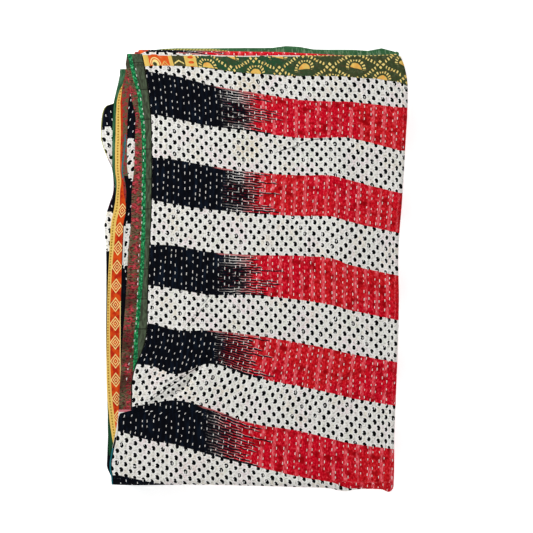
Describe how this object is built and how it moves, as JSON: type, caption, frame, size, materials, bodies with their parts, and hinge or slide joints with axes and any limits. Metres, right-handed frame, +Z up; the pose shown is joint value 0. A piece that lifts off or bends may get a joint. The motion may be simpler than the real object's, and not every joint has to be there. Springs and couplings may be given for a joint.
{
  "type": "folded kantha quilt",
  "caption": "Folded kantha quilt: thin running-stitched cloth in zigzag layers, with printed bands on its sides and a plain hem band, lying flat.",
  "frame": {"origin": "middle of the underside of the folded packet, on the surface it lies on", "axes": "+Z up, +Y along the packet towards the end with the open hems, +X across the packet towards its rounded folds"},
  "size_m": [0.4005, 0.5849, 0.046],
  "materials": {
    "striped_cloth": "quilted cotton, red and black stripes alternating with dotted white ones",
    "printed_band": "quilted cotton, dark green with gold print",
    "side_band": "quilted cotton, brown with a bright green stripe and an olive edge",
    "diamond_band": "quilted cotton, orange with yellow diamonds",
    "plain_hem": "plain green cotton"
  },
  "bodies": {
    "root": {"quilt_cloth": "striped_cloth", "end_band": "printed_band", "side_band": "side_band", "far_band": "diamond_band", "far_hem": "plain_hem"}
  },
  "joints": []
}
